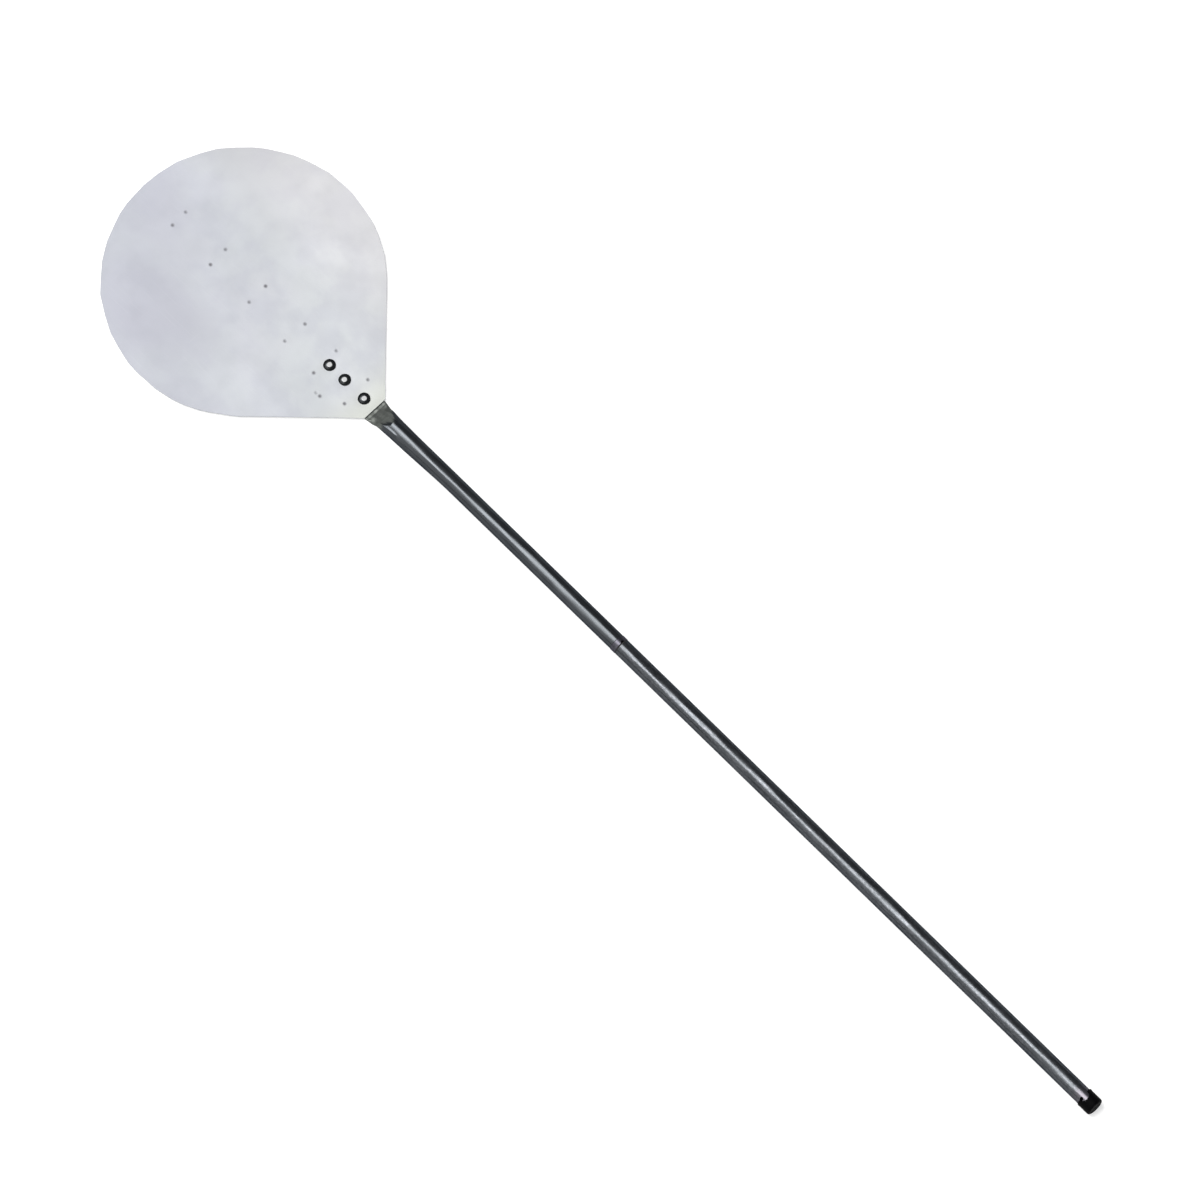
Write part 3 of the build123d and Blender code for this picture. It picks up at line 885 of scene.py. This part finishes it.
def make_rivet(number, material):
    """Snap-head rivet: flared tail, shank and a domed head, with a highlight painted bright just off
    its middle.
    """
    low, high = box_mm(f"neck_rivet_{number}")
    x = (low[0] + high[0]) / 2.0
    head_r = (high[0] - low[0]) / 2.0
    head_h = high[2] - BLADE_TOP
    sunk = BLADE_TOP - HEAD_UNDERCUT
    profile = [(0.0, RIVET_TAIL_R - 0.35), (0.12, RIVET_TAIL_R - 0.05),
               (RIVET_TAIL_DEPTH, RIVET_HOLE_R), (sunk, RIVET_HOLE_R), (sunk, head_r - 0.5),
               (BLADE_TOP - 0.1, head_r - 0.1), (BLADE_TOP + HEAD_LIP, head_r)]
    for i in range(1, HEAD_STEPS):
        share = i / HEAD_STEPS
        radius = head_r * (1.0 - share)
        rise = min(1.0, (1.0 - (1.0 - share) ** 3.0) ** 0.75 * 1.06)
        profile.append((BLADE_TOP + HEAD_LIP + (head_h - HEAD_LIP) * rise, radius))
    points, faces = upright_lathe(x, profile, 56, wobble=0.012)
    obj = add_object(f"rivet_{number}_snap_head", points, faces, material, sharp_deg=50.0)
    # where the painted highlight sits on the head: a little off its middle
    off_x = 0.25 * math.sin(2.1 * number) + 0.5
    off_y = 0.25 * math.cos(1.7 * number) - 0.45
    from_middle = np.hypot(points[:, 0] - x - off_x, points[:, 1] - off_y)
    store(obj, "painted_highlight", (points[:, 2] > BLADE_TOP) * (1.0 - smoothstep(2.0, 3.3, from_middle)))
    return obj


# ---------------------------------------------------------------- screw joint
STUD_THREAD_DEPTH = 0.85
SOCKET_THREAD_DEPTH = 0.5
SOCKET_BORE_R = 5.1
SOCKET_DEPTH = 24.0          # of the threaded hole, from the collar's face
SOCKET_EASE = 0.3            # rounding of the collar's edges
WASHER_BORE_R = 5.3
WASHER_EASE = 0.2


def thread(start_x, end_x, depth):
    """Radius change of a right-hand thread between two places on the axis."""
    def change(x, angle, radius):
        turn = np.mod(x / THREAD_PITCH - angle / (2.0 * math.pi), 1.0)
        tooth = np.abs(turn - 0.5) * 2.0
        grow = smoothstep(start_x, start_x + 1.0, x) * (1.0 - smoothstep(end_x - 1.0, end_x, x))
        return -depth * np.clip(1.25 * (1.0 - tooth) - 0.1, 0.0, 1.0) * float(grow)
    return change


def make_stud(material):
    """Threaded stud, plain where the plug holds it."""
    radius = (stud_high[2] - stud_low[2]) / 2.0
    low, high = stud_low[0], stud_high[0]
    profile = [(low, radius - 1.6), (low + 0.9, radius - 0.5)]
    profile += [(x, radius) for x in np.arange(low + 1.4, 1.0, 0.125)]
    profile += [(1.5, radius), (high - 0.8, radius), (high, radius - 0.8)]
    rings = lathe_rings(profile, 64, thread(low + 0.5, 0.6, STUD_THREAD_DEPTH))
    points, faces = skin(rings)
    return add_object("stud_thread", points, faces, material, sharp_deg=40.0)


def make_socket(material):
    """Sleeve in the front tube with a threaded hole, a collar and a notch in the collar's face."""
    low, high = socket_low[0], socket_high[0]
    collar_r = (socket_high[2] - socket_low[2]) / 2.0
    collar_x = FRONT_END_X
    sleeve_r = TUBE_R - TUBE_WALL
    bottom = high - SOCKET_DEPTH
    profile = [(low, 4.0), (low, sleeve_r - 0.5), (low + 0.5, sleeve_r),
               (collar_x, sleeve_r), (collar_x, collar_r - SOCKET_EASE),
               (collar_x + 0.1, collar_r - 0.1), (collar_x + SOCKET_EASE, collar_r)]
    profile += [(x, collar_r) for x in np.arange(collar_x + 0.7, high - 0.5, 0.6)]
    profile += [(high - SOCKET_EASE, collar_r), (high - 0.1, collar_r - 0.1),
                (high, collar_r - SOCKET_EASE), (high, SOCKET_BORE_R + 0.9),
                (high - 0.9, SOCKET_BORE_R)]
    profile += [(x, SOCKET_BORE_R) for x in np.arange(high - 1.4, bottom, -0.2)]
    profile += [(bottom, SOCKET_BORE_R), (bottom - 0.2, 1.0)]

    def groove(x, angle, radius):
        """Thread cut into the hole, but not into its ends or the outside."""
        if radius > SOCKET_BORE_R + 0.01 or x < high - 22.5 or x > high - 1.0:
            return np.zeros_like(angle)
        turn = np.mod(x / THREAD_PITCH - angle / (2.0 * math.pi), 1.0)
        return SOCKET_THREAD_DEPTH * (1.0 - np.abs(turn - 0.5) * 2.0)

    points, faces = skin(lathe_rings(profile, 96, groove))
    obj = add_object("socket_collar", points, faces, material, sharp_deg=40.0)
    inner, outer = collar_r - NOTCH_DEPTH, collar_r + 2.0
    cut(obj, [radial_tool(high, NOTCH_ANGLE, NOTCH_R, inner, outer, material)])
    return obj


def make_washer(material):
    """Flat ring with eased edges."""
    low, high = washer_low[0], washer_high[0]
    outer = (washer_high[2] - washer_low[2]) / 2.0
    inner, ease = WASHER_BORE_R, WASHER_EASE
    profile = [(low, inner + ease), (low, outer - ease), (low + ease, outer),
               (high - ease, outer), (high, outer - ease), (high, inner + ease),
               (high - ease, inner), (low + ease, inner)]
    points, faces = skin(lathe_rings(profile, 72), closed=True)
    return add_object("washer_ring", points, faces, material, sharp_deg=50.0)


# ---------------------------------------------------------------- rear tube and cap
def make_rear_tube(material):
    """Plain tube with the hanging hole through both walls."""
    low, high = tube_low[0], tube_high[0]
    inner = TUBE_R - TUBE_WALL
    near = [low + 0.22] + list(np.arange(low + 0.8, low + 5.0, 0.7))
    middle = list(np.arange(low + 18.0, HANG_HOLE_X - 8.0, 15.0))
    by_hole = list(np.arange(HANG_HOLE_X - 5.0, HANG_HOLE_X + 5.5, 0.8))
    outside = [(low, TUBE_R - 0.22)]
    outside += [(x, TUBE_R) for x in near + middle + by_hole] + [(high, TUBE_R)]
    inside_wall = [(high, inner)] + [(x, inner) for x in reversed(by_hole)]
    inside_wall += [(low + 6.0, inner), (low, inner)]
    points, faces = skin(lathe_rings(outside + inside_wall, 96), closed=True)
    obj = add_object("rear_tube_drawn", points, faces, material, sharp_deg=40.0)
    reach = TUBE_R + 3.0
    cut(obj, [radial_tool(HANG_HOLE_X, -HANG_HOLE_ANGLE, HANG_HOLE_R, -reach, reach, material)])
    return obj


CAP_WALL = 2.2               # end wall of the cap
CAP_LIP = 0.8                # rounding of its lip
CAP_ROUNDING = 2.4           # rounding of its far end


def make_cap(material):
    """Moulded cap: an open mouth with a lip, a rounded end with a dimple, and two scallops."""
    mouth, end = cap_low[0], cap_high[0]
    lip_r = (cap_high[2] - cap_low[2]) / 2.0
    body_r = lip_r - 0.3
    wall_x = end - CAP_WALL
    profile = [(wall_x, 0.6), (wall_x, TUBE_R), (mouth + 0.6, TUBE_R), (mouth, TUBE_R + 0.35)]
    for a in (10.0, 40.0, 70.0, 90.0):
        t = math.radians(a)
        x = mouth + CAP_LIP - CAP_LIP * math.cos(t)
        profile.append((x, lip_r - CAP_LIP + CAP_LIP * math.sin(t)))
    profile += [(mouth + 2.1, lip_r), (mouth + 2.6, lip_r - 0.08), (mouth + 3.0, body_r)]
    profile += [(x, body_r) for x in np.arange(mouth + 3.8, end - CAP_ROUNDING - 0.4, 0.9)]
    for a in (0.0, 15.0, 30.0, 45.0, 60.0, 75.0, 90.0):
        t = math.radians(a)
        x = end - CAP_ROUNDING + CAP_ROUNDING * math.sin(t)
        profile.append((x, body_r - CAP_ROUNDING + CAP_ROUNDING * math.cos(t)))
    profile += [(end, body_r - 3.4), (end - 0.25, body_r - 3.9), (end - 0.25, 1.6),
                (end - 0.05, 1.3), (end - 0.05, 0.3)]

    def seam(x, angle, radius):
        """Faint mould parting line along both sides."""
        side = np.abs(np.abs(np.sin(angle)) - 1.0)
        return 0.09 * np.exp(-(side / 0.0009)) * (radius > TUBE_R + 0.5)

    def askew(x, y):
        """The soft mouth sits slightly crooked on the tube."""
        return -0.09 * y * (1.0 - smoothstep(mouth + 1.0, end - 1.0, x)) * np.ones_like(y)

    points, faces = skin(lathe_rings(profile, 144, seam, askew))
    obj = add_object("end_cap_moulded", points, faces, material, sharp_deg=40.0)
    scallop_x = mouth + SCALLOP_DEPTH - SCALLOP_R
    reach = lip_r + 3.0
    cut(obj, [radial_tool(scallop_x, -SCALLOP_ANGLE, SCALLOP_R, -reach, reach, material, 72)])
    return obj


# ---------------------------------------------------------------- studio
CAMERA_AZIMUTH = 45.87
CAMERA_ELEVATION = 70.6
CAMERA_LENS = 1000.0
CAMERA_SENSOR = 36.0
VIEW_WIDTH = 1.2474          # metres across the frame at the origin
AIM_RIGHT = -0.0227          # where the view's centre lies from the origin, across and up the frame
AIM_UP = 0.0527
FLOOR_HALF = 60000.0         # mm
FLOOR_DROP = 0.05            # mm below the peel, so that their faces don't coincide
SUN_COLOUR = (1.0, 0.99, 0.97)
SKY_COLOUR = (0.95, 0.97, 1.0, 1.0)
SKY_STRENGTH = 0.34


def make_camera():
    """Long lens looking down on the peel at the photograph's angle and framing."""
    azimuth = math.radians(CAMERA_AZIMUTH)
    elevation = math.radians(CAMERA_ELEVATION)
    back = Vector((math.sin(azimuth) * math.cos(elevation),
                   -math.cos(azimuth) * math.cos(elevation), math.sin(elevation)))
    right = Vector((math.cos(azimuth), math.sin(azimuth), 0.0))
    up = back.cross(right)
    data = bpy.data.cameras.new("camera")
    data.sensor_width = CAMERA_SENSOR
    data.lens = CAMERA_LENS
    distance = VIEW_WIDTH / (CAMERA_SENSOR / CAMERA_LENS)
    data.clip_start = 1.0
    data.clip_end = 3.0 * distance
    camera = bpy.data.objects.new("camera", data)
    bpy.context.scene.collection.objects.link(camera)
    camera.location = right * AIM_RIGHT + up * AIM_UP + back * distance
    camera.rotation_mode = "QUATERNION"
    camera.rotation_quaternion = back.to_track_quat("Z", "Y")
    bpy.context.scene.camera = camera


def make_floor():
    """White table lit softly from inside, so what stands on it hardly shades it."""
    n = Nodes("floor")
    n.set(Roughness=0.9, Emission_Color=(1.0, 1.0, 1.0, 1.0), Emission_Strength=0.5)
    cloud = n.noise(400.0, detail=2.0)
    n.colour(n.mix(cloud, (0.60, 0.60, 0.60), (0.62, 0.62, 0.62)))
    signs = ((-1.0, -1.0), (1.0, -1.0), (1.0, 1.0), (-1.0, 1.0))
    corners = [(a * FLOOR_HALF, b * FLOOR_HALF, -FLOOR_DROP) for a, b in signs]
    floor = add_object("floor", corners, [(0, 1, 2, 3)], n.material, solid=False)


def add_sun(name, energy, spread_deg, towards):
    """Sun light that shines from the given direction."""
    light = bpy.data.lights.new(name, "SUN")
    light.energy = energy
    light.angle = math.radians(spread_deg)
    light.color = SUN_COLOUR
    lamp = bpy.data.objects.new(name, light)
    bpy.context.scene.collection.objects.link(lamp)
    lamp.rotation_mode = "QUATERNION"
    lamp.rotation_quaternion = Vector(towards).to_track_quat("Z", "Y")


def make_lights():
    """Even pale sky with a soft key and a broad fill."""
    world = bpy.data.worlds.new("studio")
    world.use_nodes = True
    sky = world.node_tree.nodes["Background"]
    sky.inputs["Color"].default_value = SKY_COLOUR
    sky.inputs["Strength"].default_value = SKY_STRENGTH
    bpy.context.scene.world = world
    add_sun("soft_key", 2.8, 32.0, (-0.353, -0.125, 0.925))
    add_sun("broad_fill", 1.5, 75.0, (-0.20, -0.62, 0.76))


# ---------------------------------------------------------------- assembly
def place(piece, body, node, slot):
    """Rides a piece on its body in the place of a CAD node."""
    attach(piece, body)
    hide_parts(node)


def dress(node, material):
    """Gives a CAD piece that stays as it is its material."""
    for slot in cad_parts[node].material_slots:
        slot.material = material


rivet_steel = rivet_material()
machined = machined_material()
place(make_blade(blade_material(), edge_painted_shade_material()), "head", "blade", "blade_sheet")
place(make_front_tube(tube_material("front_tube_steel", True)), "head", "front_tube", "dark_tube")
for rivet_number in (1, 2, 3):
    place(make_rivet(rivet_number, rivet_steel), "head", f"neck_rivet_{rivet_number}", "rivet")
place(make_socket(machined), "head", "joint_socket", "joint_metal")
place(make_washer(washer_material()), "washer", "joint_washer", "washer")
place(make_stud(machined), "rear_handle", "joint_stud", "joint_metal")
rear_tube_steel = tube_material("rear_tube_steel", False)
place(make_rear_tube(rear_tube_steel), "rear_handle", "rear_tube", "dark_tube")
place(make_cap(cap_material()), "rear_handle", "end_cap", "cap")
dress("blade_stiffener", stiffener_material())
dress("stud_plug", machined)

make_camera()
make_floor()
make_lights()
bpy.context.scene.view_settings.view_transform = "Standard"
